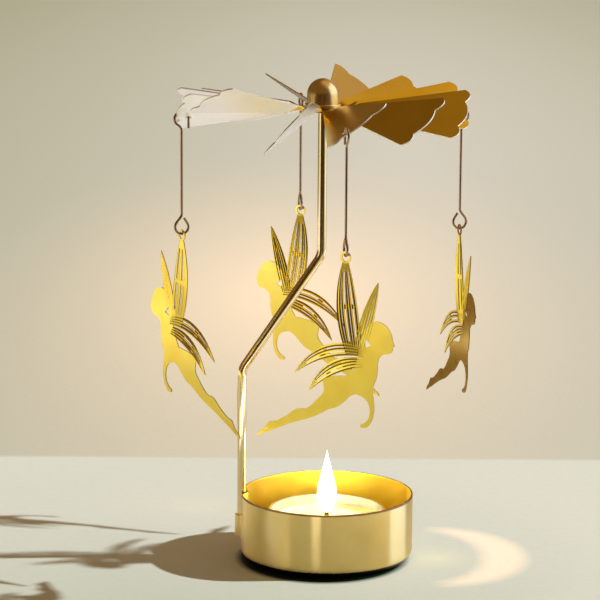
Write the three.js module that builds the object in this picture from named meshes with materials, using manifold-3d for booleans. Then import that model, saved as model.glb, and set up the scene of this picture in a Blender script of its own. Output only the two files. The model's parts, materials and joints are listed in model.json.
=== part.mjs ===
// Candle carousel. A brass cup holds a tealight, and a bent rod woven through the
// cup's wall carries a twelve-bladed spinner on its point. The warm air turns the
// spinner, and with it four fairy charms that hang from its blades on wire hooks.
// Millimetres, +Z up, origin at the centre of the cup's underside.

import * as THREE from 'three';
import Module from 'manifold-3d';
import { mergeVertices } from 'three/addons/utils/BufferGeometryUtils.js';

// Clearances
const fitGap = 0.3;
const cutOverrun = 1;

// Cup
const cupRadius = 29;
const cupHeight = 21.9;
const cupSheet = 0.5;
const cupCornerRadius = 3.5;
const cupColumns = 36;
const cornerSteps = 4;

// Rod seat pressed into the cup's wall: a strap between two slits, a groove above
const lowerSlitHeight = 6.7;
const upperSlitHeight = 14.4;
const slitWidth = 0.5;
const seatHalfWidth = 4.4;
const seatColumnShares = [-1, -0.78, -0.56, -0.28, 0, 0.28, 0.56, 0.78, 1];

// Upright rod
const rodRadius = 1.5;
const spindleOffset = 2.4;
const lowerBendHeight = 64;
const upperBendHeight = 103;
const rodBendRadius = 7;
const rodBendSteps = 6;
const rodPointLength = 4;
const rodPointRadius = 0.35;
const rodPointBase = 1.35;
const rodHalfSides = 6;

// Spinner
const bladeCount = 12;
const spinnerHeight = 151.8;
const spinnerSheet = 0.4;
const hubHoleRadius = 4.7;
const hubRadius = 8;
const neckLength = 4.4;
const bladeEndRadius = 46.6;
const bladeLobeHeight = 1.9;
const bladeCornerLobeHeight = 0.8;
const bladeCornerRounding = 1.9;
const bladeHalfAngle = THREE.MathUtils.degToRad(13.9);
const bladeTwist = 35.3;
const firstBladeAngle = THREE.MathUtils.degToRad(13);
const bladeColumnShares = [-1, -0.92, -0.72, -0.5, -0.34, -0.17, 0, 0.17, 0.34, 0.5, 0.72, 0.92, 1];
const lobeCuspShare = 0.5;
const neckRowShares = [0.5, 1];

// Blades that are bent off the pattern, as thin sheet is: their pitch in degrees,
// how far their end is raised, and how far they lean sideways, in degrees
const plainBend = { twist: bladeTwist, lift: 0, sway: 0 };
const bladeBends = {
  2: { twist: 37, lift: 2.7, sway: 0 },
  4: { twist: 36.5, lift: -3.3, sway: 6 },
  5: { twist: 31, lift: 0, sway: 0 },
  7: { twist: 24.3, lift: 5.8, sway: -3.6 },
  8: { twist: 48, lift: -1.2, sway: 2.6 },
};

// Pivot cap
const capRadius = 5.2;
const capSheet = 0.5;
const capRise = 9.8;
const capStepRadius = 6;
const capStepHeight = 1.1;
const capStepRounding = 0.3;
const capLipRadius = 5.5;
const capSegments = 24;
const capArcSteps = 6;

// Hangers
const wireRadius = 0.42;
const hookRadius = 2.3;
const hookTipLength = 3;
const eyeRadius = 2.2;
const eyeNeckRadius = 1;
const eyeMouthAngle = THREE.MathUtils.degToRad(130);
const hookStripWidth = 2.4;
const hangerChordOffset = 4.1;
const hangerDrop = 35.6;
const hookHoleRadius = 1;
const wireHalfSides = 3;
const hangerSteps = { hook: 8, bend: 3, eye: 11 };

// Fairy charms
const charmSheet = 0.3;
const figureSpan = 50;
const figureDrop = 62;
const tabRadius = 1.95;
const tabHoleRadius = 1.2;
const tabSegments = 16;
const veinWidth = 0.6;

// Outline of the figure as shares of its span and drop, corner to corner
const figureOutlineShares = [
  [[0.12, -0.42], [0.165, -0.345], [0.23, -0.31], [0.3, -0.325], [0.34, -0.365], [0.352, -0.4]],
  [[0.352, -0.4], [0.366, -0.424], [0.352, -0.434]],
  [[0.352, -0.434], [0.352, -0.45], [0.33, -0.467], [0.285, -0.475], [0.25, -0.505], [0.245, -0.56],
    [0.235, -0.61], [0.214, -0.645], [0.213, -0.69], [0.222, -0.74], [0.22, -0.79], [0.198, -0.838],
    [0.168, -0.866], [0.128, -0.87]],
  [[0.128, -0.87], [0.122, -0.856], [0.158, -0.84], [0.186, -0.81], [0.19, -0.77], [0.176, -0.735],
    [0.142, -0.712], [0.09, -0.7]],
  [[0.09, -0.7], [0.045, -0.715], [-0.01, -0.755], [-0.06, -0.785], [-0.12, -0.803], [-0.24, -0.856],
    [-0.4, -0.905], [-0.55, -0.96], [-0.66, -1]],
  [[-0.66, -1], [-0.652, -0.982], [-0.605, -0.952], [-0.57, -0.915]],
  [[-0.57, -0.915], [-0.51, -0.902], [-0.43, -0.865], [-0.36, -0.825], [-0.28, -0.812], [-0.2, -0.755],
    [-0.155, -0.71], [-0.165, -0.645]],
  [[-0.165, -0.645], [-0.08, -0.622], [0.035, -0.61]],
  [[0.035, -0.61], [0.075, -0.56], [0.1, -0.5], [0.12, -0.42]],
];
const outlineStepsPerPoint = 2;
const napeOpeningShares = [[0.152, -0.405], [0.196, -0.438], [0.15, -0.452]];

// Wings, root to tip, as shares of the figure, with real widths and arching. Each
// starts part of the way into its swell, so that it joins the back on a broad root.
const wings = [
  { rootShares: [0.07, -0.5], tipShares: [0, 0.01], halfWidth: 3.9, arch: 1.1, swellStart: 0.2,
    steps: 8, veinShares: [-0.6, -0.2, 0.2, 0.6], runShares: [[0.14, 0.46], [0.52, 0.84]] },
  { rootShares: [0.11, -0.47], tipShares: [0.242, -0.11], halfWidth: 2.3, arch: 0.2, swellStart: 0.28,
    steps: 7, veinShares: [-0.1], runShares: [[0.36, 0.6], [0.68, 0.84]] },
  { rootShares: [0.13, -0.475], tipShares: [-0.372, -0.632], halfWidth: 2.1, arch: -3.4, swellStart: 0.25,
    steps: 8, veinShares: [-0.4, 0.4], runShares: [[0.24, 0.52], [0.59, 0.82]] },
  { rootShares: [0.12, -0.53], tipShares: [-0.268, -0.718], halfWidth: 2.1, arch: -2.6, swellStart: 0.25,
    steps: 8, veinShares: [-0.4, 0.4], runShares: [[0.3, 0.54], [0.61, 0.82]] },
];
const veinSteps = 2;
const wingFullness = 0.75;

// Which way each charm hangs at rest, from square across its wire
const charms = [
  { name: 'right', blade: 0, turn: THREE.MathUtils.degToRad(182) },
  { name: 'back', blade: 3, turn: THREE.MathUtils.degToRad(-46) },
  { name: 'left', blade: 6, turn: THREE.MathUtils.degToRad(204) },
  { name: 'front', blade: 9, turn: THREE.MathUtils.degToRad(-46) },
];

// Tealight
const tealightRadius = 19;
const tealightHeight = 15.5;
const tealightSheet = 0.4;
const tealightRimRadius = 0.5;
const tealightCornerRadius = 1.5;
const waxHeight = 11.6;
const waxCollarHeight = 0.8;
const wickRadius = 0.8;
const wickRise = 7;
const wickTabRadius = 6;
const wickTabSheet = 0.3;
const wickTabCollarHeight = 3;
const waxBevel = 0.9;
const waxShoulderWidth = 2.7;
const pressedCornerSteps = 2;
const roundSegments = 30;
const wickSegments = 10;

// Materials
const brass = { color: 0xd4a24a, roughness: 0.2, metalness: 1 };
const softBrass = { color: 0xc99a45, roughness: 0.28, metalness: 1 };
const aluminium = { color: 0xc9cbcc, roughness: 0.35, metalness: 1 };
const steel = { color: 0xa9a9a6, roughness: 0.4, metalness: 1 };
const wax = { color: 0xf3ead6, roughness: 0.55, metalness: 0 };
const cotton = { color: 0x2e2723, roughness: 0.95, metalness: 0 };

const wasm = await Module();
wasm.setup();

function piece(name, geometry, finish) {
  const mesh = new THREE.Mesh(geometry, new THREE.MeshStandardMaterial(finish));
  mesh.name = name;
  return mesh;
}

// Solids that are cut or joined
function toSolid(geometry) {
  const bare = geometry.clone();
  bare.deleteAttribute('normal');
  bare.deleteAttribute('uv');
  const merged = mergeVertices(bare);
  return new wasm.Manifold(new wasm.Mesh({
    numProp: 3,
    vertProperties: Float32Array.from(merged.attributes.position.array),
    triVerts: Uint32Array.from(merged.index.array),
  }));
}

function toGeometry(solid) {
  const mesh = solid.getMesh();
  const geometry = new THREE.BufferGeometry();
  geometry.setAttribute('position', new THREE.BufferAttribute(new Float32Array(mesh.vertProperties), mesh.numProp));
  geometry.setIndex(new THREE.BufferAttribute(new Uint32Array(mesh.triVerts), 1));
  geometry.computeVertexNormals();
  return geometry;
}

function cutAway(geometry, cutters) {
  return toGeometry(cutters.reduce((solid, cutter) => solid.subtract(toSolid(cutter)), toSolid(geometry)));
}

function joinAll(geometries) {
  return toGeometry(geometries.slice(1).reduce((solid, next) => solid.add(toSolid(next)), toSolid(geometries[0])));
}

// Sheet metal as a grid of cells between two skins. Open cells are left out, and
// every edge of the sheet, round the outside and round each opening, is closed.
function sheetGeometry({ rows, columns, skins, isOpen, poleRow = -1 }) {
  const positions = [];
  for (let row = 0; row < rows; row += 1) {
    for (let column = 0; column < columns; column += 1) {
      const { outer, inner } = skins(row, column);
      positions.push(outer.x, outer.y, outer.z, inner.x, inner.y, inner.z);
    }
  }
  const corner = (row, column, side) => {
    const place = row === poleRow ? 0 : (column + columns) % columns;
    return 2 * (row * columns + place) + side;
  };
  const isSolid = (row, column) => (
    row >= 0 && row < rows - 1 && !isOpen(row, (column + columns) % columns)
  );
  const index = [];
  const triangle = (a, b, c) => {
    if (a !== b && b !== c && c !== a) {
      index.push(a, b, c);
    }
  };
  const quad = (a, b, c, d) => {
    triangle(a, b, c);
    triangle(a, c, d);
  };
  const edge = (rowA, columnA, rowB, columnB) => quad(
    corner(rowA, columnA, 0), corner(rowA, columnA, 1), corner(rowB, columnB, 1), corner(rowB, columnB, 0),
  );
  for (let row = 0; row < rows - 1; row += 1) {
    for (let column = 0; column < columns; column += 1) {
      if (isSolid(row, column)) {
        quad(corner(row, column, 0), corner(row, column + 1, 0),
          corner(row + 1, column + 1, 0), corner(row + 1, column, 0));
        quad(corner(row, column, 1), corner(row + 1, column, 1),
          corner(row + 1, column + 1, 1), corner(row, column + 1, 1));
        if (row !== poleRow && !isSolid(row - 1, column)) {
          edge(row, column, row, column + 1);
        }
        if (!isSolid(row + 1, column)) {
          edge(row + 1, column + 1, row + 1, column);
        }
        if (!isSolid(row, column - 1)) {
          edge(row + 1, column, row, column);
        }
        if (!isSolid(row, column + 1)) {
          edge(row, column + 1, row + 1, column + 1);
        }
      }
    }
  }
  const geometry = new THREE.BufferGeometry();
  geometry.setAttribute('position', new THREE.Float32BufferAttribute(positions, 3));
  geometry.setIndex(index);
  geometry.computeVertexNormals();
  return geometry;
}

// Wire: a round section along bends, with a ring at each given point
class WirePath extends THREE.Curve {
  constructor(points) {
    super();
    this.points = points;
  }

  getPoint(share, target = new THREE.Vector3()) {
    const place = share * (this.points.length - 1);
    const start = Math.min(Math.floor(place), this.points.length - 2);
    return target.lerpVectors(this.points[start], this.points[start + 1], place - start);
  }

  getUtoTmapping(share) {
    return share;
  }
}

function wireGeometry(points, radius, halfSides) {
  const section = new THREE.Shape();
  section.absarc(0, 0, radius, 0, 2 * Math.PI);
  return new THREE.ExtrudeGeometry(section, {
    extrudePath: new WirePath(points), steps: points.length - 1, curveSegments: halfSides,
  });
}

// Points of an arc in the upright plane, x outward and z up
function arcPoints(centreX, centreZ, radius, from, to, steps) {
  return Array.from({ length: steps + 1 }, (unused, step) => {
    const angle = from + (to - from) * step / steps;
    return new THREE.Vector3(centreX + radius * Math.cos(angle), 0, centreZ + radius * Math.sin(angle));
  });
}

function profileArc(centreRadius, centreHeight, radius, from, to, steps) {
  return arcPoints(centreRadius, centreHeight, radius, from, to, steps)
    .map(({ x, z }) => [Math.max(0, x), z]);
}

// The rise of a parabola of unit height along a unit run
function bow(share) {
  return 4 * share * (1 - share);
}

function lathe(profile, segments) {
  return new THREE.LatheGeometry(profile.map(([radius, height]) => new THREE.Vector2(radius, height)), segments)
    .rotateX(Math.PI / 2);
}

// Cup: one drawn sheet, its wall pushed in above the strap and out at it, so that
// the rod passes in front of the groove and behind the strap
function cupGeometry() {
  const innerCorner = cupCornerRadius - cupSheet;
  const flatRadius = cupRadius - cupCornerRadius;
  const rowSpecs = [{ flat: 0 }];
  for (let step = 0; step <= cornerSteps; step += 1) {
    rowSpecs.push({ corner: step / cornerSteps * Math.PI / 2 });
  }
  const halfSlit = slitWidth / 2;
  rowSpecs.push({ height: lowerSlitHeight - halfSlit, opensAbove: true });
  rowSpecs.push({ height: lowerSlitHeight + halfSlit, push: 1 });
  rowSpecs.push({ height: upperSlitHeight - halfSlit, push: 1, opensAbove: true });
  rowSpecs.push({ height: upperSlitHeight + halfSlit, push: -1 });
  rowSpecs.push({ height: cupHeight, push: -1 });

  const seatHalfAngle = seatHalfWidth / cupRadius;
  const seatPush = rodRadius + fitGap + cupSheet / 2;
  const angles = seatColumnShares.map((share) => Math.PI + share * seatHalfAngle);
  const pushes = seatColumnShares.map((share) => seatPush * (1 + Math.cos(Math.PI * share)) / 2);
  const seatColumns = angles.length - 1;
  const plainAngle = 2 * (Math.PI - seatHalfAngle) / cupColumns;
  for (let column = 1; column < cupColumns; column += 1) {
    angles.push(Math.PI + seatHalfAngle + column * plainAngle);
    pushes.push(0);
  }

  return sheetGeometry({
    rows: rowSpecs.length,
    columns: angles.length,
    poleRow: 0,
    isOpen: (row, column) => rowSpecs[row].opensAbove === true && column < seatColumns,
    skins: (row, column) => {
      const spec = rowSpecs[row];
      const at = (radius, height) => new THREE.Vector3(
        radius * Math.cos(angles[column]), radius * Math.sin(angles[column]), height,
      );
      if (spec.flat !== undefined) {
        return { outer: at(0, 0), inner: at(0, cupSheet) };
      }
      if (spec.corner !== undefined) {
        const out = Math.sin(spec.corner);
        const drop = Math.cos(spec.corner);
        return {
          outer: at(flatRadius + cupCornerRadius * out, cupCornerRadius - cupCornerRadius * drop),
          inner: at(flatRadius + innerCorner * out, cupCornerRadius - innerCorner * drop),
        };
      }
      const push = (spec.push ?? 0) * pushes[column];
      return {
        outer: at(cupRadius + push, spec.height),
        inner: at(cupRadius - cupSheet + push, spec.height),
      };
    },
  });
}

// Upright rod: from the lower slit's lip, up behind the strap, over the cup and up
// the spinner's axis to a turned point
const rodSeatX = -(cupRadius - cupSheet / 2);
const rodFootHeight = lowerSlitHeight - slitWidth / 2 + fitGap;
const capInnerTop = spinnerHeight + capRise - capSheet;
const rodTopHeight = capInnerTop - fitGap;

function rodGeometry() {
  const run = -spindleOffset - rodSeatX;
  const rise = upperBendHeight - lowerBendHeight;
  const lean = Math.atan2(run, rise);
  const cutBack = rodBendRadius * Math.tan(lean / 2);
  const lowerBend = arcPoints(
    rodSeatX + rodBendRadius, lowerBendHeight - cutBack, rodBendRadius, Math.PI, Math.PI - lean, rodBendSteps,
  );
  const upperBend = arcPoints(
    -spindleOffset - rodBendRadius, upperBendHeight + cutBack, rodBendRadius, -lean, 0, rodBendSteps,
  );
  const pointHeight = rodTopHeight - rodPointLength;
  const shaft = wireGeometry([
    new THREE.Vector3(rodSeatX, 0, rodFootHeight),
    ...lowerBend,
    ...upperBend,
    new THREE.Vector3(-spindleOffset, 0, pointHeight),
  ], rodRadius, rodHalfSides);
  const tip = lathe([
    [0, pointHeight - rodRadius],
    [rodPointBase, pointHeight - rodRadius],
    [rodPointBase, pointHeight],
    [rodPointRadius, rodTopHeight - rodPointRadius / 2],
    [0, rodTopHeight],
  ], 2 * rodHalfSides).translate(-spindleOffset, 0, 0);
  return joinAll([shaft, tip]);
}

// Where a hook hangs: it straddles the strip of blade outside its hole, which lies
// inside the hook's ring and slants across it with the blade
const bladePitch = THREE.MathUtils.degToRad(bladeTwist);
const bladeHalfChord = bladeEndRadius * Math.tan(bladeHalfAngle);
const hangerReach = bladeEndRadius + lobeRise(hangerChordOffset / bladeHalfChord) - hookStripWidth / 2;
const hookSeatRise = Math.sqrt((hookRadius - wireRadius - fitGap) ** 2 - (hookStripWidth / 2) ** 2)
  - spinnerSheet / 2 / Math.cos(bladePitch) - wireRadius / 2 * Math.tan(bladePitch);
const hookCrossing = Math.sqrt(hookRadius ** 2 - hookSeatRise ** 2);

// Spinner: one stamped sheet. Each blade stays joined to the hub by a neck, in
// which it is turned to its pitch, and ends in three shallow lobes.
function lobeRise(share) {
  const across = Math.abs(share);
  if (across < lobeCuspShare) {
    return bladeLobeHeight * (1 - (across / lobeCuspShare) ** 2);
  }
  const side = (across - lobeCuspShare) / (1 - lobeCuspShare);
  const rounding = bladeCornerRounding * side ** 4;
  return bladeCornerLobeHeight * (bow(side) + side) - rounding;
}

function spinnerGeometry() {
  const bladeColumns = bladeColumnShares.length;
  const neckEnd = hubRadius + neckLength;
  const hubRows = [hubHoleRadius, hubRadius];
  const neckRows = neckRowShares.map((share) => ({ reach: hubRadius + share * neckLength, bendShare: share }));
  const rows = hubRows.length + neckRows.length + 1;
  const flatPlace = (row, share) => {
    const angle = share * bladeHalfAngle;
    if (row < hubRows.length) {
      return { reach: hubRows[row] * Math.cos(angle), chord: hubRows[row] * Math.sin(angle), bendShare: 0 };
    }
    if (row < rows - 1) {
      const { reach, bendShare } = neckRows[row - hubRows.length];
      return { reach, chord: share * reach * Math.tan(bladeHalfAngle), bendShare };
    }
    return { reach: bladeEndRadius + lobeRise(share), chord: share * bladeHalfChord, bendShare: 1 };
  };
  const sheet = sheetGeometry({
    rows,
    columns: bladeCount * bladeColumns,
    isOpen: (row, column) => row >= hubRows.length - 1 && column % bladeColumns === bladeColumns - 1,
    skins: (row, column) => {
      const blade = Math.floor(column / bladeColumns);
      const bend = bladeBends[blade] ?? plainBend;
      const { reach, chord, bendShare } = flatPlace(row, bladeColumnShares[column % bladeColumns]);
      const twist = THREE.MathUtils.degToRad(bendShare * bend.twist);
      const rise = bend.lift * Math.max(0, reach - hubRadius) / (bladeEndRadius - hubRadius);
      const turn = firstBladeAngle + blade * 2 * Math.PI / bladeCount
        + THREE.MathUtils.degToRad(bendShare * bend.sway);
      const at = (side) => new THREE.Vector3(
        reach,
        chord * Math.cos(twist) - side * Math.sin(twist),
        chord * Math.sin(twist) + side * Math.cos(twist) + rise,
      ).applyAxisAngle(new THREE.Vector3(0, 0, 1), turn);
      return { outer: at(-spinnerSheet / 2), inner: at(spinnerSheet / 2) };
    },
  });
  const holes = charms.map(({ blade }) => {
    const punch = new THREE.CylinderGeometry(
      hookHoleRadius, hookHoleRadius, 2 * cutOverrun + spinnerSheet, wickSegments,
    );
    return punch.rotateX(Math.PI / 2)
      .translate(0, -hangerChordOffset, 0)
      .rotateX(bladePitch)
      .translate(hangerReach - hookCrossing, 0, 0)
      .rotateZ(firstBladeAngle + blade * 2 * Math.PI / bladeCount);
  });
  return cutAway(sheet, holes);
}

// Pivot cap: a drawn dome that rides on the rod's point, with a step on the hub and
// a collar through it that is spread below
function pivotCapGeometry() {
  const seat = spinnerSheet / 2 + fitGap;
  const collarRadius = hubHoleRadius - fitGap;
  const boreRadius = collarRadius - capSheet;
  const domeBase = capRise - capRadius;
  const outer = profileArc(0, domeBase, capRadius, Math.PI / 2, 0, capArcSteps);
  outer[0][0] = 0;
  const innerRadius = capRadius - capSheet;
  const inner = profileArc(0, domeBase, innerRadius, 0, Math.PI / 2, capArcSteps);
  inner[capArcSteps][0] = 0;
  const profile = [
    ...outer,
    [capRadius, seat + capStepHeight],
    [capStepRadius - capStepRounding, seat + capStepHeight],
    [capStepRadius, seat + capStepHeight - capStepRounding],
    [capStepRadius, seat],
    [collarRadius, seat],
    [collarRadius, -seat],
    [capLipRadius, -seat],
    [capLipRadius, -seat - capSheet],
    [boreRadius, -seat - capSheet],
    [boreRadius, seat + capSheet],
    [innerRadius, seat + capSheet + innerRadius - boreRadius],
    ...inner,
  ];
  return lathe(profile.reverse(), capSegments).translate(0, 0, spinnerHeight);
}

// Hangers: the hook is a half ring through the blade's hole and round its end, and
// two equal bends bring the wire back under the hook's middle
function hangerGeometry() {
  const hookBend = Math.acos(hookRadius / (hookRadius + hookRadius));
  const eyeBend = Math.acos(eyeNeckRadius / (eyeRadius + eyeNeckRadius));
  const shankTop = -2 * hookRadius * Math.sin(hookBend);
  const neckTop = -hangerDrop + (eyeRadius + eyeNeckRadius) * Math.sin(eyeBend);
  const points = [
    new THREE.Vector3(-hookRadius, 0, -hookTipLength),
    ...arcPoints(0, 0, hookRadius, Math.PI, 0, hangerSteps.hook),
    ...arcPoints(0, 0, hookRadius, 0, -hookBend, hangerSteps.bend).slice(1),
    ...arcPoints(hookRadius, shankTop, hookRadius, Math.PI - hookBend, Math.PI, hangerSteps.bend).slice(1),
    ...arcPoints(eyeNeckRadius, neckTop, eyeNeckRadius, Math.PI, Math.PI + eyeBend, hangerSteps.bend),
    ...arcPoints(0, -hangerDrop, eyeRadius, eyeBend, eyeMouthAngle - 2 * Math.PI, hangerSteps.eye).slice(1),
  ];
  return wireGeometry(points, wireRadius, wireHalfSides);
}

// Fairy charms: thin flat sheet, the figure joined to four veined wings, and a tab
// with a hole at the tip of the tall wing
function flatSolid(points, thickness) {
  return new THREE.ExtrudeGeometry(new THREE.Shape(points), { depth: thickness, bevelEnabled: false })
    .translate(0, 0, -thickness / 2);
}

function figurePoint([across, up]) {
  return new THREE.Vector2(across * figureSpan, up * figureDrop);
}

// A place on a wing: along it from root to tip, and across it from its middle line
function wingPlace(wing, along, across) {
  const root = figurePoint(wing.rootShares);
  const tip = figurePoint(wing.tipShares);
  const reach = tip.clone().sub(root);
  const side = new THREE.Vector2(-reach.y, reach.x).normalize();
  const middle = root.clone().addScaledVector(reach, along)
    .addScaledVector(side, wing.arch * bow(along));
  const swell = wing.swellStart + (1 - wing.swellStart) * along;
  const halfWidth = wing.halfWidth * Math.sin(Math.PI * swell) ** wingFullness;
  return middle.addScaledVector(side, halfWidth * across);
}

function wingGeometry(wing) {
  const edge = (across) => Array.from({ length: wing.steps }, (unused, step) => (
    wingPlace(wing, step / wing.steps, across)
  ));
  const blank = flatSolid([...edge(-1), figurePoint(wing.tipShares), ...edge(1).reverse()], charmSheet);
  return cutAway(blank, wing.veinShares.flatMap((across) => (
    wing.runShares.map((run) => veinGeometry(wing, across, run))
  )));
}

function veinGeometry(wing, across, [from, to]) {
  const middle = Array.from({ length: veinSteps + 1 }, (unused, step) => (
    wingPlace(wing, from + (to - from) * step / veinSteps, across)
  ));
  const edge = (side) => middle.slice(1, -1).map((point, step) => {
    const along = middle[step + 2].clone().sub(middle[step]).normalize();
    return new THREE.Vector2(point.x - side * along.y, point.y + side * along.x);
  });
  return flatSolid([
    middle[0], ...edge(-veinWidth / 2), middle[veinSteps], ...edge(veinWidth / 2).reverse(),
  ], charmSheet + cutOverrun);
}

function charmGeometry() {
  const outline = figureOutlineShares.flatMap((run) => {
    const points = run.map(figurePoint);
    return new THREE.SplineCurve(points).getPoints((points.length - 1) * outlineStepsPerPoint).slice(0, -1);
  });
  const disc = (radius, thickness) => (
    new THREE.CylinderGeometry(radius, radius, thickness, tabSegments).rotateX(Math.PI / 2)
  );
  const whole = joinAll([
    flatSolid(outline, charmSheet), ...wings.map(wingGeometry), disc(tabRadius, charmSheet),
  ]);
  const openings = [
    flatSolid(napeOpeningShares.map(figurePoint), charmSheet + cutOverrun),
    disc(tabHoleRadius, charmSheet + cutOverrun),
  ];
  return cutAway(whole, openings).rotateX(Math.PI / 2);
}

// Tealight: a pressed foil cup, the wax, and a cotton wick held in a tin tab
function tealightCupGeometry() {
  const innerRadius = tealightRadius - tealightSheet;
  const corner = (radius, from, to) => profileArc(
    tealightRadius - tealightCornerRadius, tealightCornerRadius, radius, from, to, pressedCornerSteps,
  );
  return lathe([
    [0, tealightSheet],
    ...corner(tealightCornerRadius - tealightSheet, -Math.PI / 2, 0),
    [innerRadius, tealightHeight - tealightRimRadius / 2],
    [innerRadius + tealightSheet / 2, tealightHeight],
    [tealightRadius + tealightRimRadius / 2, tealightHeight],
    [tealightRadius + tealightRimRadius, tealightHeight - tealightRimRadius],
    [tealightRadius + tealightRimRadius / 2, tealightHeight - 2 * tealightRimRadius],
    [tealightRadius, tealightHeight - 2 * tealightRimRadius],
    ...corner(tealightCornerRadius, 0, -Math.PI / 2),
    [0, 0],
  ].reverse(), roundSegments);
}

const waxFloor = tealightSheet + fitGap;
const wickTabBore = wickRadius + fitGap;

function waxGeometry() {
  const edgeRadius = tealightRadius - tealightSheet - fitGap;
  const tabClear = wickTabRadius + fitGap;
  const collarClear = wickTabBore + wickTabSheet + fitGap;
  const top = waxFloor + waxHeight;
  return lathe([
    [tabClear, waxFloor],
    [edgeRadius - tealightCornerRadius, waxFloor],
    [edgeRadius, waxFloor + tealightCornerRadius],
    [edgeRadius, top],
    [edgeRadius - waxBevel, top],
    [edgeRadius - waxShoulderWidth, top - waxCollarHeight],
    [collarClear + waxBevel, top - waxCollarHeight],
    [wickTabBore, top - waxCollarHeight / 2],
    [wickTabBore, waxFloor + wickTabSheet + wickTabCollarHeight + fitGap],
    [collarClear, waxFloor + wickTabSheet + wickTabCollarHeight + fitGap],
    [collarClear, waxFloor + wickTabSheet + fitGap],
    [tabClear, waxFloor + wickTabSheet + fitGap],
    [tabClear, waxFloor],
  ], roundSegments);
}

function wickTabGeometry() {
  return lathe([
    [wickTabBore, waxFloor],
    [wickTabRadius, waxFloor],
    [wickTabRadius, waxFloor + wickTabSheet],
    [wickTabBore + wickTabSheet, waxFloor + wickTabSheet],
    [wickTabBore + wickTabSheet, waxFloor + wickTabSheet + wickTabCollarHeight],
    [wickTabBore, waxFloor + wickTabSheet + wickTabCollarHeight],
    [wickTabBore, waxFloor],
  ], roundSegments / 2);
}

function wickGeometry() {
  const top = waxFloor + waxHeight + wickRise - waxCollarHeight;
  return lathe([
    [0, waxFloor],
    [wickRadius, waxFloor],
    [wickRadius, top - wickRadius / 2],
    [wickRadius / 2, top],
    [0, top],
  ], wickSegments);
}

// Assembly
const carousel = new THREE.Group();
carousel.add(piece('cup', cupGeometry(), brass));
carousel.add(piece('upright_rod', rodGeometry(), brass));

const rotor = new THREE.Group();
rotor.position.x = -spindleOffset;
rotor.add(piece('pivot_cap', pivotCapGeometry(), brass));
const blades = piece('spinner', spinnerGeometry(), softBrass);
blades.position.z = spinnerHeight;
rotor.add(blades);

const hangerShape = hangerGeometry();
const charmShape = charmGeometry();
const hangerAcross = -hangerChordOffset * Math.cos(bladePitch);
const hangerHeight = spinnerHeight - hangerChordOffset * Math.sin(bladePitch) - hookSeatRise;
const charmDrop = hangerDrop + eyeRadius - wireRadius - fitGap + tabHoleRadius;
for (const { name, blade, turn } of charms) {
  const arm = new THREE.Group();
  arm.rotation.z = firstBladeAngle + blade * 2 * Math.PI / bladeCount;
  const hanger = piece(`hanger_${name}`, hangerShape, brass);
  hanger.position.set(hangerReach, hangerAcross, hangerHeight);
  const fairy = piece(`fairy_${name}`, charmShape, softBrass);
  fairy.position.set(hangerReach, hangerAcross, hangerHeight - charmDrop);
  fairy.rotation.z = Math.PI / 2 + turn;
  arm.add(hanger, fairy);
  rotor.add(arm);
}
carousel.add(rotor);

const tealight = new THREE.Group();
tealight.position.z = cupSheet + fitGap;
tealight.add(piece('tealight_cup', tealightCupGeometry(), aluminium));
tealight.add(piece('candle_wax', waxGeometry(), wax));
tealight.add(piece('wick_tab', wickTabGeometry(), steel));
tealight.add(piece('wick', wickGeometry(), cotton));
carousel.add(tealight);

export default carousel;
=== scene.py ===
import json
import math

import bmesh
import bpy
from mathutils import Matrix, Vector


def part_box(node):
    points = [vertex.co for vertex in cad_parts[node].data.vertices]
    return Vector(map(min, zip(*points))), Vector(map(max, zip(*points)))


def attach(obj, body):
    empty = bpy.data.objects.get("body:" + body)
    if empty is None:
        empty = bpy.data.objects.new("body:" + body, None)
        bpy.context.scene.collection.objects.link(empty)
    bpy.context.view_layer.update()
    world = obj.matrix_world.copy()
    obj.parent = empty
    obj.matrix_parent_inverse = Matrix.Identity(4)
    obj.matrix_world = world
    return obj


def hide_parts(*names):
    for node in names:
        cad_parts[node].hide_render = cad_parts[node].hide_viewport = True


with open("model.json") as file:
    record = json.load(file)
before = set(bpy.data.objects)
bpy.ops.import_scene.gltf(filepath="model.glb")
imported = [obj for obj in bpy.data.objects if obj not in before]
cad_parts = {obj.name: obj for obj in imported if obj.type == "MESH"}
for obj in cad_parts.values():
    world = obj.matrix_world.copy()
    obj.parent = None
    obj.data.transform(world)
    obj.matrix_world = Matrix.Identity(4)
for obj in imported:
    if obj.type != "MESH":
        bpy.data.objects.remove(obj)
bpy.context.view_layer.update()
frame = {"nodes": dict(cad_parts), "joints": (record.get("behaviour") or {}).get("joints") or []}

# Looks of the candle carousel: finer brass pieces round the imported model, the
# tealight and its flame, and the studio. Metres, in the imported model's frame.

joints = {joint["name"]: joint for joint in frame["joints"]}

# Clearance between pieces, and how close points are one point
fit_gap = 0.0003
weld_distance = 0.0000005

# From which angle an edge shows, on a piece by itself and on joined ones, and from
# which it is rounded. A face looks along a direction by more than the facing share.
smooth_angle = math.radians(35)
joined_angle = math.radians(25)
rounding_angle = math.radians(50)
rounding_segments = 2
facing_share = 0.5

# Cup
cup_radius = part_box("cup")[1].y
cup_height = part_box("cup")[1].z
cup_sheet = 0.0005
cup_corner_radius = 0.0035
cup_columns = 160
cup_corner_steps = 8
cup_rim_rounding = 0.00012
cup_floor_shares = (0, 0.4, 0.8)
# Height of the band of painted shade along the cup's rim
rim_shade_height = 0.0006
# Height below which the cup's bottom corner gets painted contact shade
foot_shade_height = 0.0019

# Rod seat in the cup's wall
lower_slit_height = 0.0067
upper_slit_height = 0.0144
slit_width = 0.0005
seat_half_width = 0.0044
seat_columns = 28

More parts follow.
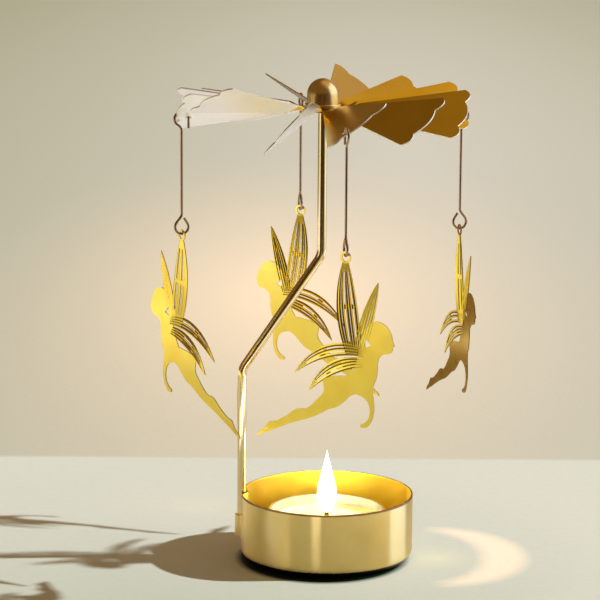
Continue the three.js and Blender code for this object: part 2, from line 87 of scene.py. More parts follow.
# Upright rod
rod_radius = 0.0015
rod_top_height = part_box("upright_rod")[1].z
rod_foot_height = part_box("upright_rod")[0].z
lower_bend_height = 0.064
upper_bend_height = 0.103
rod_bend_radius = 0.007
rod_bend_steps = 20
rod_resolution = 14
rod_point_length = 0.004
rod_point_shares = [(0.0, 1.0), (0.02, 0.9), (0.95, 0.24), (1.0, 0.05)]

# Spinner
rotor_axis = Vector(joints["rotor_spin"]["pos_m"])
blade_count = 12
spinner_sheet = 0.0004
hub_hole_radius = 0.0047
hub_radius = 0.008
neck_length = 0.0044
blade_end_radius = 0.0466
blade_lobe_height = 0.0019
corner_lobe_height = 0.0008
corner_rounding = 0.0019
blade_half_angle = math.radians(13.9)
first_blade_angle = math.radians(13)
lobe_cusp_share = 0.5

# Each blade's pitch, how far its end is raised, and how far it leans sideways
plain_bend = (35.3, 0.0, 0.0)
blade_bends = {
    2: (37.0, 0.0027, 0.0),
    4: (36.5, -0.0033, 6.0),
    5: (31.0, 0.0, 0.0),
    7: (24.3, 0.0058, -3.6),
    8: (48.0, -0.0012, 2.6),
}
blade_columns = 57
neck_rows = 9
blade_rows = 5
# How steeply a blade face must look down to get the painted glare
underside_slope = -0.3
hook_hole_radius = 0.001
hook_hole_steps = 32
hook_chord_offset = 0.0041
hook_strip_width = 0.0024

# Pivot cap
cap_radius = 0.0052
cap_sheet = 0.0005
cap_rise = 0.0098
cap_step_radius = 0.006
cap_step_height = 0.0011
cap_step_rounding = 0.0003
cap_lip_radius = 0.0055
cap_segments = 96
cap_dome_steps = 24
cap_rounding_steps = 6

# Hangers
wire_radius = 0.00042
wire_resolution = 5
hook_radius = 0.0023
hook_tip_length = 0.003
hook_bend = math.acos(0.5)
hook_steps = 24
hook_bend_steps = 10
eye_radius = 0.0022
eye_ring_steps = 26
eye_curve_steps = 4
hanger_drop = 0.0356

# The eye's outline as shares of its radius: a drop shape, round below
eye_entry_shares = [(0, 2.0), (0.03, 1.75), (0.25, 1.38), (0.55, 1.0), (0.8, 0.66)]
eye_exit_shares = [(-0.8, 0.66), (-0.58, 1.0), (-0.34, 1.36)]
eye_round_angle = math.radians(24)

# Charms
charm_sheet = 0.0003
figure_span = 0.05
figure_drop = 0.062
tab_radius = 0.00195
tab_hole_radius = 0.0012
tab_steps = 48
tab_thickness_share = 0.99
punch_thickness_share = 4
outline_steps = 5
charm_crisp_angle = math.radians(8)

# Outline of the figure as shares of its span and drop, corner to corner
figure_outline_shares = [
    [(0.12, -0.42), (0.165, -0.345), (0.23, -0.31), (0.3, -0.325), (0.34, -0.365), (0.352, -0.4)],
    [(0.352, -0.4), (0.366, -0.424), (0.352, -0.434)],
    [(0.352, -0.434), (0.352, -0.45), (0.33, -0.467), (0.285, -0.475), (0.25, -0.505), (0.245, -0.56),
     (0.235, -0.61), (0.214, -0.645), (0.213, -0.69), (0.222, -0.74), (0.22, -0.79), (0.198, -0.838),
     (0.168, -0.866), (0.128, -0.87)],
    [(0.128, -0.87), (0.122, -0.856), (0.158, -0.84), (0.186, -0.81), (0.19, -0.77), (0.176, -0.735),
     (0.142, -0.712), (0.09, -0.7)],
    [(0.09, -0.7), (0.045, -0.715), (-0.01, -0.755), (-0.06, -0.785), (-0.12, -0.803), (-0.24, -0.856),
     (-0.4, -0.905), (-0.55, -0.96), (-0.66, -1)],
    [(-0.66, -1), (-0.652, -0.982), (-0.605, -0.952), (-0.57, -0.915)],
    [(-0.57, -0.915), (-0.51, -0.902), (-0.43, -0.865), (-0.36, -0.825), (-0.28, -0.812), (-0.2, -0.755),
     (-0.155, -0.71), (-0.165, -0.645)],
    [(-0.165, -0.645), (-0.08, -0.622), (0.035, -0.61)],
    [(0.035, -0.61), (0.075, -0.56), (0.1, -0.5), (0.12, -0.42)],
]
nape_opening_shares = [(0.152, -0.405), (0.196, -0.438), (0.15, -0.452)]

# Wings, root to tip. A slot is a column across the wing, open along two runs.
wings = [
    {
        "root_shares": (0.07, -0.5), "tip_shares": (0, 0.01),
        "half_width": 0.0039, "arch": 0.0011, "swell_start": 0.2, "columns": 17,
        "slot_columns": (3, 6, 9, 12), "run_shares": ((0.14, 0.46), (0.52, 0.84)),
    },
    {
        "root_shares": (0.11, -0.47), "tip_shares": (0.242, -0.11),
        "half_width": 0.0023, "arch": 0.0002, "swell_start": 0.28, "columns": 11,
        "slot_columns": (4,), "run_shares": ((0.36, 0.6), (0.68, 0.84)),
    },
    {
        "root_shares": (0.13, -0.475), "tip_shares": (-0.372, -0.632),
        "half_width": 0.0021, "arch": -0.0034, "swell_start": 0.25, "columns": 9,
        "slot_columns": (2, 5), "run_shares": ((0.24, 0.52), (0.59, 0.82)),
    },
    {
        "root_shares": (0.12, -0.53), "tip_shares": (-0.268, -0.718),
        "half_width": 0.0021, "arch": -0.0026, "swell_start": 0.25, "columns": 9,
        "slot_columns": (2, 5), "run_shares": ((0.3, 0.54), (0.61, 0.82)),
    },
]
wing_rows = 44
wing_fullness = 0.75
wing_least_fullness = 0.02
wing_relief = 0.00011
wing_proud = 0.00001

# Which way each charm hangs at rest, from square across its wire
charm_turns = {"right": 182, "back": -46, "left": 204, "front": -46}

# Tealight
tealight_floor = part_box("tealight_cup")[0].z
tealight_radius = 0.019
tealight_height = 0.0155
tealight_sheet = 0.0004
tealight_rim_radius = 0.0005
tealight_corner_radius = 0.0015
tealight_corner_steps = 8
tealight_rim_steps = 14
tealight_rim_curl = math.pi * 3 / 4
wax_height = 0.0116
wax_pool_depth = 0.0008
wax_bead_width = 0.0009
wax_shoulder_width = 0.0027
wax_slope_steps = 12
wax_climb_steps = 8
wick_radius = 0.0008
wick_tab_radius = 0.006
wick_tab_sheet = 0.0003
wick_collar_height = 0.003
round_segments = 96

# The wick's cord: where it starts to bend and how much, and how its strands swell
wick_steps = 16
wick_resolution = 6
wick_bend_start = 0.75
wick_bend = 0.02
wick_cord_share = 0.93
wick_swell = 0.06
wick_swell_turn = 2.4
wick_tip_share = 0.55

# Flame: radii along its height
flame_base_height = 0.0152
flame_tip_height = 0.0366
flame_radius = 0.0032
flame_segments = 32
flame_steps = 6
flame_shares = [(0, 0.3), (0.08, 0.72), (0.2, 0.97), (0.3, 1), (0.42, 0.92), (0.56, 0.7), (0.7, 0.45),
                (0.83, 0.23), (0.93, 0.08), (1, 0)]
flame_colours = [(0.0, (1.0, 0.8, 0.3)), (0.2, (1.0, 0.9, 0.5)), (0.6, (1.0, 0.88, 0.6)),
                 (1.0, (1.0, 0.6, 0.3))]
flame_strength = 12

# Brass finishes: light and dark colour, roughness, size and depth of the waves in the
# metal, how its grain is stretched, and how strongly it is drawn
even = (1, 1, 1)
brass_finishes = {
    "drawn_brass": ((0.86, 0.65, 0.24), (0.8, 0.58, 0.18), 0.3, 0.012, 0.00001, (1, 1, 8), 1.0),
    # Inside of the cup: satin brass whose brighter yellow is painted candlelight glow
    "satin_inside_painted_glow": ((1.0, 0.8, 0.13), (0.97, 0.73, 0.1), 0.4, 0.012, 0.00002, even, 0.0),
    "turned_brass": ((0.86, 0.64, 0.26), (0.8, 0.56, 0.2), 0.26, 0.012, 0.00001, even, 0.0),
    "polished_brass": ((0.88, 0.7, 0.4), (0.82, 0.62, 0.32), 0.12, 0.012, 0.00002, (1, 1, 0.1), 0.0),
    "blade_sheet": ((0.88, 0.58, 0.05), (0.82, 0.51, 0.03), 0.2, 0.02, 0.00012, even, 0.0),
    "charm_sheet": ((0.91, 0.68, 0.1), (0.84, 0.6, 0.07), 0.2, 0.02, 0.00012, even, 0.0),
    "brass_wire": ((0.5, 0.34, 0.2), (0.42, 0.27, 0.14), 0.2, 0.01, 0.00001, (1, 1, 0.1), 0.0),
    # Blade undersides: a pale colour that is painted glare, a reflection of bright light
    "underside_painted_glare": ((0.91, 0.96, 1.0), (0.87, 0.92, 0.98), 0.3, 0.02, 0.00012, even, 0.0),
    # Painted shade for the cup's rim and the charms' cut edges
    "painted_edge_shade": ((0.3, 0.17, 0.06), (0.2, 0.1, 0.03), 0.35, 0.01, 0.00001, even, 0.0),
    # Painted contact shade for the cup's bottom corner
    "painted_foot_shade": ((0.24, 0.11, 0.05), (0.16, 0.06, 0.03), 0.25, 0.01, 0.00001, even, 0.0),
    # Painted highlight for the blades' cut edges
    "painted_edge_highlight": ((1.0, 0.93, 0.74), (0.94, 0.84, 0.6), 0.6, 0.01, 0.00001, even, 0.0),
}

# All brass: its patches and smears, how far smears change the roughness, the strength
# and depth of its scratches, and which way it is drawn
brass_patch_noise = (90, 4)
brass_patch_places = (0.3, 0.7)
brass_smear_noise = (160, 5)
brass_smear_shares = (0.7, 1.5)
brass_scratch_noise = (2600, 2)
brass_scratch_relief = (0.25, 0.000004)
brass_drawn_turn = 0.25

# The tealight's finishes. Each noise is a scale, a detail and a stretch. The colours
# and the roughness go from the noise's dark places to its light ones, and the bump is
# a strength and a depth.
finishes = {
    "pressed_foil": {
        "sockets": {"Metallic": 1.0},
        "mottling": (220, 4, even), "roughness": (0.22, 0.4),
        "colours": [(0.3, (0.72, 0.72, 0.72)), (0.7, (0.88, 0.88, 0.87))],
        "relief": (700, 2, (1, 1, 0.15)), "bump": (0.4, 0.00004),
    },
    "candle_wax": {
        "sockets": {"Subsurface_Weight": 1.0, "Subsurface_Scale": 0.004,
                    "Subsurface_Radius": (1.0, 0.6, 0.3), "Specular_IOR_Level": 0.5, "IOR": 1.44},
        "mottling": (260, 4, even), "roughness": (0.12, 0.35),
        "colours": [(0.3, (0.86, 0.76, 0.56)), (0.7, (0.93, 0.86, 0.7))],
        "relief": (420, 3, even), "bump": (0.3, 0.00008),
    },
    "tinned_tab": {
        "sockets": {"Metallic": 1.0},
        "mottling": (900, 3, (1, 1, 0.2)), "roughness": (0.3, 0.5),
        "colours": [(0.3, (0.55, 0.55, 0.54)), (0.7, (0.68, 0.68, 0.67))],
    },
    "charred_cotton": {
        "sockets": {},
        "mottling": (2400, 3, (1, 1, 0.5)), "roughness": (0.8, 1.0),
        "colours": [(0.35, (0.012, 0.01, 0.009)), (0.7, (0.09, 0.06, 0.045))],
        "relief": (2400, 3, (1, 1, 0.5)), "bump": (0.8, 0.0003),
    },
}

# Studio. A patch of light is painted light: a colour that is added round a centre, out to its reach; one
# with a negative colour is painted shade.
table_depth = 0.13
table_edge_softness = 0.002
floor_reach = 12.0
floor_height = -0.0001
floor_roughness = 0.6
floor_gloss = 0.2
floor_grain_noise = (400, 5)
floor_grain_shares = (0.95, 1.05)
wall_shade = (0.345, 0.348, 0.195)
wall_light = {"colour": (0.43, 0.385, 0.45), "centre": (0.07, 1.03), "reach": (1.1, 6.0)}
wall_glow = {"colour": (0.57, 0.33, 0.17), "centre": (-0.015, 0.46), "reach": (0.21, 0.62)}
table_shade = (0.82, 0.81, 0.72)
# Painted shade darkens the table's front left; painted glows lie right of the cup and behind it on the
# left; the contact shade is a painted shadow round the cup's foot
table_painted_shade = {"colour": (-0.36, -0.32, -0.35), "centre": (-0.06, -0.16), "reach": (0.35, 0.42)}
cup_glow = {"colour": (0.14, 0.12, 0.02), "centre": (0.037, -0.003), "reach": (0.022, 0.02)}
candle_glow = {"colour": (0.1, 0.05, 0.02), "centre": (-0.045, 0.058), "reach": (0.05, 0.045)}
contact_shade = {"colour": (-0.7, -0.68, -0.6), "disc": ((-0.0015, -0.0025), (0.0283, 0.0297))}
sun_direction = Vector((1, 0.06, 0.71))
sun_width = math.radians(1.4)
sun_colour = (0.85, 0.95, 1.0)
sun_energy = 4.3
candle_colour = (1.0, 0.8, 0.24)
candle_energy = 0.034
candle_size = 0.003
candle_height = 0.032
sky_direction = (0.45, 0.15, 0.88)
sky_edge = (0.74, 0.93)
sky_dark = (0.17, 0.1, 0.04)
sky_bright = (0.6, 0.41, 0.22)

# Camera: the photograph's place, pitch, roll and lens
camera_place = (-0.00945, -0.8602, 0.257)
camera_pitch = math.radians(90 - 11.13)
camera_roll = math.radians(0.38)
camera_lens = 158.5
camera_sensor = 36
camera_reach = 20

# The crescent of sunlight that the cup throws back: a disc less another, each a
# centre and a reach, and how soft its edge and that of the contact shade are
crescent_discs = (((0.038, 0), (0.029, 0.033)), ((0.026, 0), (0.027, 0.034)))
crescent_colour = (0.42, 0.24, 0.12)
crescent_softness = 0.22
contact_softness = 0.1

# Cards that only reflections see: azimuths in degrees, distance, heights and colour
cards = {
    "room_front": ((222, 325), 0.3, (0, 0.2), (0.05, 0.035, 0.02)),
    "lamp_front": ((200, 252), 0.07, (0.026, 0.04), (1.7, 1.7, 1.7)),
    "lamp_strip": ((254, 263), 0.07, (0.026, 0.04), (8.0, 8.0, 10.0)),
    "lamp_middle": ((266, 322), 0.07, (0.026, 0.04), (2.0, 1.9, 1.8)),
    "lamp_right": ((322, 350), 0.07, (0.026, 0.04), (2.3, 2.2, 2.1)),
    "window_low": ((-4, 30), 0.2, (0, 0.06), (2.5, 3.2, 6.0)),
    "window_high": ((-4, 30), 0.2, (0.06, 0.25), (1.4, 1.6, 2.2)),
    "cap_light": ((-34, 40), 0.11, (0.15, 0.3), (1.3, 1.5, 2.1)),
    "wall_light": ((52, 84), 0.8, (0.2, 0.75), (0.54, 0.4, 0.28)),
    "room_back": ((96, 131), 0.2, (0, 0.14), (0.18, 0.1, 0.05)),
    "left_leg": ((131, 187), 0.3, (0, 0.012), (0.45, 0.43, 0.38)),
    "left_chest": ((131, 187), 0.3, (0.012, 0.07), (1.4, 1.35, 1.2)),
    "back_chest": ((187, 205), 0.3, (0, 0.03), (1.0, 0.97, 0.95)),
    "back_head": ((187, 205), 0.3, (0.03, 0.07), (1.6, 1.7, 2.5)),
    "front_leg": ((205, 222), 0.3, (0, 0.012), (0.6, 0.57, 0.5)),
    "front_chest": ((205, 222), 0.3, (0.012, 0.03), (1.05, 1.0, 0.95)),
    "front_head": ((205, 222), 0.3, (0.03, 0.07), (1.25, 1.2, 1.15)),
    "front_wings": ((198, 222), 0.3, (0.07, 0.16), (1.3, 1.2, 1.1)),
}
card_steps = 24

# A level card that lights the undersides of the blades on the left
table_card = {"corners": ((-0.12, 0.03), (-0.012, 0.105)), "height": 0.05, "colour": (0.95, 0.8, 0.68)}


def link(obj):
    bpy.context.scene.collection.objects.link(obj)
    return obj


def mesh_object(name, points, faces):
    mesh = bpy.data.meshes.new(name)
    mesh.from_pydata([tuple(point) for point in points], [], faces)
    mesh.update()
    return link(bpy.data.objects.new(name, mesh))


# The mesh that an object's modifiers make, smooth but for its sharp edges
def settled(obj, sharp_angle=smooth_angle):
    graph = bpy.context.evaluated_depsgraph_get()
    mesh = bpy.data.meshes.new_from_object(obj.evaluated_get(graph))
    name = obj.name
    bpy.data.objects.remove(obj)
    shape = bmesh.new()
    shape.from_mesh(mesh)
    bmesh.ops.remove_doubles(shape, verts=shape.verts, dist=weld_distance)
    bmesh.ops.recalc_face_normals(shape, faces=shape.faces)
    shape.to_mesh(mesh)
    shape.free()
    result = link(bpy.data.objects.new(name, mesh))
    mesh.shade_smooth()
    mesh.set_sharp_from_angle(angle=sharp_angle)
    return result


def rounded(obj, width):
    bevel = obj.modifiers.new("rounding", "BEVEL")
    bevel.width = width
    bevel.segments = rounding_segments
    bevel.limit_method = "ANGLE"
    bevel.angle_limit = rounding_angle
    return obj


# A sheet between two skins: cells in rows and round the columns, with open cells
# left out, closed along every edge
def sheet_object(name, rows, columns, skins, is_open, closed=True, pole_row=None):
    points = []
    for row in range(rows):
        for column in range(columns):
            points += skins(row, column)

    def corner(row, column, side):
        place = 0 if row == pole_row else column % columns
        return 2 * (row * columns + place) + side

    def is_solid(row, column):
        if not closed and not 0 <= column < columns - 1:
            return False
        return 0 <= row < rows - 1 and not is_open(row, column % columns)

    faces = []

    def face(*ring):
        ring = list(dict.fromkeys(ring))
        if len(ring) > 2:
            faces.append(ring)

    def edge(row, column, next_row, next_column):
        face(corner(row, column, 0), corner(row, column, 1),
             corner(next_row, next_column, 1), corner(next_row, next_column, 0))

    for row in range(rows - 1):
        for column in range(columns):
            if not is_solid(row, column):
                continue
            face(corner(row, column, 0), corner(row, column + 1, 0),
                 corner(row + 1, column + 1, 0), corner(row + 1, column, 0))
            face(corner(row, column, 1), corner(row + 1, column, 1),
                 corner(row + 1, column + 1, 1), corner(row, column + 1, 1))
            if row != pole_row and not is_solid(row - 1, column):
                edge(row, column, row, column + 1)
            if not is_solid(row + 1, column):
                edge(row + 1, column + 1, row + 1, column)
            if not is_solid(row, column - 1):
                edge(row + 1, column, row, column)
            if not is_solid(row, column + 1):
                edge(row, column + 1, row + 1, column + 1)
    return mesh_object(name, points, faces)


# A turned piece: a closed or axis-to-axis profile of (radius, height) points
def lathe_object(name, profile, segments, centre=Vector()):
    points = []
    rings = []
    for radius, height in profile:
        if radius <= 0:
            rings.append([len(points)] * segments)
            points.append(centre + Vector((0, 0, height)))
        else:
            rings.append(list(range(len(points), len(points) + segments)))
            for segment in range(segments):
                angle = 2 * math.pi * segment / segments
                points.append(centre + Vector((radius * math.cos(angle), radius * math.sin(angle), height)))
    open_ended = profile[0][0] <= 0
    pairs = list(zip(rings, rings[1:] if open_ended else rings[1:] + rings[:1]))
    faces = []
    for lower, upper in pairs:
        for segment in range(segments):
            following = (segment + 1) % segments
            ring = [lower[segment], lower[following], upper[following], upper[segment]]
            faces.append(list(dict.fromkeys(ring)))
    return settled(mesh_object(name, points, [face for face in faces if len(face) > 2]))


# A round tube along points, with a share of its radius at each
def tube_object(name, points, radius, resolution, shares=None):
    curve = bpy.data.curves.new(name, "CURVE")
    curve.dimensions = "3D"
    curve.bevel_depth = radius
    curve.bevel_resolution = resolution
    curve.use_fill_caps = True
    spline = curve.splines.new("POLY")
    spline.points.add(len(points) - 1)
    for place, point in enumerate(points):
        spline.points[place].co = (*point, 1)
        spline.points[place].radius = shares[place] if shares else 1
    return settled(link(bpy.data.objects.new(name, curve)))


def arc_points(centre_x, centre_z, radius, start, end, steps):
    angles = [start + (end - start) * step / steps for step in range(steps + 1)]
    return [Vector((centre_x + radius * math.cos(angle), 0, centre_z + radius * math.sin(angle)))
            for angle in angles]


def profile_arc(centre_radius, centre_height, radius, start, end, steps):
    points = arc_points(centre_radius, centre_height, radius, start, end, steps)
    return [(max(0, point.x), point.z) for point in points]


def bow(share):
    return 4 * share * (1 - share)


# Shader nodes
class Surface:
    def __init__(self, name, **sockets):
        self.material = bpy.data.materials.new(name)
        self.material.use_nodes = True
        self.tree = self.material.node_tree
        self.shader = self.tree.nodes["Principled BSDF"]
        self.coordinates = self.add("ShaderNodeTexCoord").outputs["Object"]
        for socket, value in sockets.items():
            self.shader.inputs[socket.replace("_", " ")].default_value = value

    def add(self, kind, settings=None, **inputs):
        node = self.tree.nodes.new(kind)
        for key, value in (settings or {}).items():
            setattr(node, key, value)
        for socket, value in inputs.items():
            self.feed(node.inputs[socket.replace("_", " ")], value)
        return node

    def feed(self, socket, value):
        if isinstance(value, bpy.types.NodeSocket):
            self.tree.links.new(value, socket)
        else:
            socket.default_value = value

    def shade(self, socket, value):
        self.feed(self.shader.inputs[socket], value)

    def noise(self, scale, detail, stretch=even):
        mapped = self.add("ShaderNodeMapping", Vector=self.coordinates, Scale=stretch)
        return self.add("ShaderNodeTexNoise", Vector=mapped.outputs["Vector"], Scale=scale,
                        Detail=detail).outputs["Fac"]

    def ramp(self, factor, stops):
        node = self.add("ShaderNodeValToRGB", Fac=factor)
        elements = node.color_ramp.elements
        while len(elements) < len(stops):
            elements.new(1)
        for element, (position, colour) in zip(elements, stops):
            element.position = position
            element.color = (*colour, 1)
        return node.outputs["Color"]

    def spread(self, factor, low, high):
        return self.add("ShaderNodeMapRange", Value=factor, To_Min=low, To_Max=high).outputs["Result"]

    def bump(self, height, strength, distance, under=None):
        node = self.add("ShaderNodeBump", Strength=strength, Distance=distance, Height=height)
        if under is not None:
            self.feed(node.inputs["Normal"], under)
        return node.outputs["Normal"]


def brass_material(name):
    pale, deep, roughness, wave_size, wave_depth, grain, drawn = brass_finishes[name]
    least, most = brass_smear_shares
    surface = Surface(name, Metallic=1.0, Anisotropic=drawn, Anisotropic_Rotation=brass_drawn_turn)
    patches = surface.noise(*brass_patch_noise)
    surface.shade("Base Color", surface.ramp(patches, list(zip(brass_patch_places, (deep, pale)))))
    smears = surface.noise(*brass_smear_noise, grain)
    surface.shade("Roughness", surface.spread(smears, roughness * least, roughness * most))
    waves = surface.bump(surface.noise(1 / wave_size, 1), 1.0, wave_depth)
    scratches = surface.bump(surface.noise(*brass_scratch_noise, grain), *brass_scratch_relief, waves)
    surface.shade("Normal", scratches)
    return surface.material


def finish_material(name):
    finish = finishes[name]
    surface = Surface(name, **finish["sockets"])
    mottling = surface.noise(*finish["mottling"])
    surface.shade("Base Color", surface.ramp(mottling, finish["colours"]))
    surface.shade("Roughness", surface.spread(mottling, *finish["roughness"]))
    if "relief" in finish:
        surface.shade("Normal", surface.bump(surface.noise(*finish["relief"]), *finish["bump"]))
    return surface.material


# The flame is nearly white, warmer at its foot and its tip
def flame_material():
    surface = Surface("candle_flame", Roughness=1.0, Base_Color=(0, 0, 0, 1),
                      Emission_Strength=flame_strength)
    height = surface.add("ShaderNodeSeparateXYZ", Vector=surface.coordinates).outputs["Z"]
    along = surface.add("ShaderNodeMapRange", Value=height, From_Min=flame_base_height,
                        From_Max=flame_tip_height).outputs["Result"]
    surface.shade("Emission Color", surface.ramp(along, flame_colours))
    return surface.material


# Cup: the wall is pushed in above the strap and out at it
def cup_piece():
    flat_radius = cup_radius - cup_corner_radius
    inner_corner = cup_corner_radius - cup_sheet
    rows = []
    for share in cup_floor_shares:
        rows.append(((flat_radius * share, 0), (flat_radius * share, cup_sheet), 0, False))
    for step in range(cup_corner_steps + 1):
        turn = math.pi / 2 * step / cup_corner_steps
        out, drop = math.sin(turn), math.cos(turn)
        rows.append(((flat_radius + cup_corner_radius * out, cup_corner_radius - cup_corner_radius * drop),
                     (flat_radius + inner_corner * out, cup_corner_radius - inner_corner * drop), 0, False))
    for height, push, opens in (
        (lower_slit_height - slit_width / 2, 0, True),
        (lower_slit_height + slit_width / 2, 1, False),
        (upper_slit_height - slit_width / 2, 1, True),
        (upper_slit_height + slit_width / 2, -1, False),
        (cup_height - rim_shade_height, -1, False),
        (cup_height, -1, False),
    ):
        rows.append(((cup_radius, height), (cup_radius - cup_sheet, height), push, opens))
    seat_half_angle = seat_half_width / cup_radius
    seat_push = rod_radius + fit_gap + cup_sheet / 2
    columns = []
    for step in range(seat_columns + 1):
        share = 2 * step / seat_columns - 1
        columns.append((math.pi + share * seat_half_angle, seat_push * (1 + math.cos(math.pi * share)) / 2))
    plain_angle = 2 * (math.pi - seat_half_angle) / cup_columns
    for step in range(1, cup_columns):
        columns.append((math.pi + seat_half_angle + step * plain_angle, 0))

    def skins(row, column):
        *sides, push, _ = rows[row]
        angle, depth = columns[column]
        points = []
        for radius, height in sides:
            reach = radius + push * depth
            points.append(Vector((reach * math.cos(angle), reach * math.sin(angle), height)))
        return points

    obj = sheet_object("cup_shell", len(rows), len(columns), skins,
                       lambda row, column: rows[row][3] and column < seat_columns, pole_row=0)
    return settled(rounded(obj, cup_rim_rounding))


def rod_piece():
    seat_x = -(cup_radius - cup_sheet / 2)
    lean = math.atan2(rotor_axis.x - seat_x, upper_bend_height - lower_bend_height)
    cut_back = rod_bend_radius * math.tan(lean / 2)
    lower = arc_points(seat_x + rod_bend_radius, lower_bend_height - cut_back, rod_bend_radius,
                       math.pi, math.pi - lean, rod_bend_steps)
    upper = arc_points(rotor_axis.x - rod_bend_radius, upper_bend_height + cut_back, rod_bend_radius,
                       -lean, 0, rod_bend_steps)
    path = [Vector((seat_x, 0, rod_foot_height)), *lower, *upper]
    shares = [1] * len(path)
    for along, share in rod_point_shares:
        height = rod_top_height - rod_point_length * (1 - along)
        path.append(Vector((rotor_axis.x, 0, height)))
        shares.append(share)
    return tube_object("upright", path, rod_radius, rod_resolution, shares)


# Spinner: twelve blades on a hub, turned to their pitch in their necks
def lobe_rise(share):
    across = abs(share)
    if across < lobe_cusp_share:
        return blade_lobe_height * (1 - (across / lobe_cusp_share) ** 2)
    side = (across - lobe_cusp_share) / (1 - lobe_cusp_share)
    return corner_lobe_height * (bow(side) + side) - corner_rounding * side ** 4


def spinner_piece():
    neck_end = hub_radius + neck_length
    half_chord = blade_end_radius * math.tan(blade_half_angle)
    rows = [("hub", hub_hole_radius), ("hub", (hub_hole_radius + hub_radius) / 2), ("hub", hub_radius)]
    hub_rows = len(rows)
    rows += [("neck", step / neck_rows) for step in range(1, neck_rows + 1)]
    rows += [("blade", step / blade_rows) for step in range(1, blade_rows + 1)]

    def skins(row, column):
        kind, value = rows[row]
        blade = column // blade_columns
        pitch, lift, sway = blade_bends.get(blade, plain_bend)
        share = 2 * (column % blade_columns) / (blade_columns - 1) - 1
        angle = share * blade_half_angle
        if kind == "hub":
            reach, chord, bend = value * math.cos(angle), value * math.sin(angle), 0
        elif kind == "neck":
            reach = hub_radius + value * neck_length
            chord = share * reach * math.tan(blade_half_angle)
            bend = value * value * (3 - 2 * value)
        else:
            end = blade_end_radius + lobe_rise(share)
            reach = neck_end + value * (end - neck_end)
            near = neck_end * math.tan(blade_half_angle)
            chord = share * (near + value * (half_chord - near))
            bend = 1
        twist = math.radians(pitch * bend)
        raised = lift * max(0, reach - hub_radius) / (blade_end_radius - hub_radius)
        turn = first_blade_angle + blade * 2 * math.pi / blade_count + math.radians(sway * bend)
        return [rotor_axis + Matrix.Rotation(turn, 3, "Z") @ Vector((
            reach, chord * math.cos(twist) - side * math.sin(twist),
            chord * math.sin(twist) + side * math.cos(twist) + raised,
        )) for side in (-spinner_sheet / 2, spinner_sheet / 2)]

    spinner = settled(sheet_object(
        "spinner_sheet", len(rows), blade_count * blade_columns, skins,
        lambda row, column: row >= hub_rows - 1 and column % blade_columns == blade_columns - 1,
    ))
    for side in charm_turns:
        spinner = combined(spinner, hook_punch(side, half_chord), "DIFFERENCE")
    return spinner


# What cuts a hook's hole: the hook straddles the strip of blade outside it
def hook_punch(side, half_chord):
    pitch = math.radians(plain_bend[0])
    strip_end = blade_end_radius + lobe_rise(hook_chord_offset / half_chord) - hook_strip_width / 2
    seat_rise = (math.sqrt((hook_radius - wire_radius - fit_gap) ** 2 - (hook_strip_width / 2) ** 2)
                 - spinner_sheet / 2 / math.cos(pitch) - wire_radius / 2 * math.tan(pitch))
    ring = ring_points(hook_hole_radius, hook_hole_steps)
    punch = slab("hook_punch", ring, spinner_sheet * punch_thickness_share)
    punch.data.transform(
        Matrix.Translation(rotor_axis) @ Matrix.Rotation(arm_angle(joints["swing_" + side]), 4, "Z")
        @ Matrix.Translation((strip_end - math.sqrt(hook_radius ** 2 - seat_rise ** 2), 0, 0))
        @ Matrix.Rotation(pitch, 4, "X") @ Matrix.Translation((0, -hook_chord_offset, 0))
        @ Matrix.Rotation(math.pi / 2, 4, "X"))
    return punch


def cap_piece():
    seat = spinner_sheet / 2 + fit_gap
    collar_radius = hub_hole_radius - fit_gap
    bore_radius = collar_radius - cap_sheet
    inner_radius = cap_radius - cap_sheet
    dome_base = cap_rise - cap_radius
    outer = profile_arc(0, dome_base, cap_radius, math.pi / 2, 0, cap_dome_steps)
    inner = profile_arc(0, dome_base, inner_radius, 0, math.pi / 2, cap_dome_steps)
    outer[0] = (0, outer[0][1])
    inner[-1] = (0, inner[-1][1])
    shoulder = profile_arc(cap_step_radius - cap_step_rounding, seat + cap_step_height - cap_step_rounding,
                           cap_step_rounding, math.pi / 2, 0, cap_rounding_steps)
    profile = [
        *outer,
        (cap_radius, seat + cap_step_height),
        *shoulder,
        (cap_step_radius, seat),
        (collar_radius, seat),
        (collar_radius, -seat),
        (cap_lip_radius, -seat),
        (cap_lip_radius, -seat - cap_sheet),
        (bore_radius, -seat - cap_sheet),
        (bore_radius, seat + cap_sheet),
        (inner_radius, seat + cap_sheet + inner_radius - bore_radius),
        *inner,
    ]
    return lathe_object("pivot_dome", profile[::-1], cap_segments, rotor_axis)


# Hanger: two equal bends bring the wire back under the hook's middle, to the eye
def hanger_piece(side):
    shank_top = -2 * hook_radius * math.sin(hook_bend)
    shank_end = math.pi - hook_bend
    ring_end = -math.pi - eye_round_angle
    ring = arc_points(0, -hanger_drop, eye_radius, eye_round_angle, ring_end, eye_ring_steps)
    eye = [*map(eye_point, eye_entry_shares), *ring[1:-1:2], *map(eye_point, eye_exit_shares)]
    path = [
        Vector((-hook_radius, 0, -hook_tip_length)),
        *arc_points(0, 0, hook_radius, math.pi, 0, hook_steps),
        *arc_points(0, 0, hook_radius, 0, -hook_bend, hook_bend_steps)[1:],
        *arc_points(hook_radius, shank_top, hook_radius, shank_end, math.pi, hook_bend_steps)[1:],
        *spline_points(eye, eye_curve_steps),
        eye[-1],
    ]
    joint = joints["swing_" + side]
    stand = Matrix.Translation(joint["pos_m"]) @ Matrix.Rotation(arm_angle(joint), 4, "Z")
    return tube_object("wire_" + side, [stand @ point for point in path], wire_radius, wire_resolution)


def eye_point(shares):
    return Vector((shares[0] * eye_radius, 0, shares[1] * eye_radius - hanger_drop))


def arm_angle(joint):
    return math.atan2(-joint["axis"][0], joint["axis"][1])


# Charms
def figure_point(shares):
    return Vector((shares[0] * figure_span, 0, shares[1] * figure_drop))


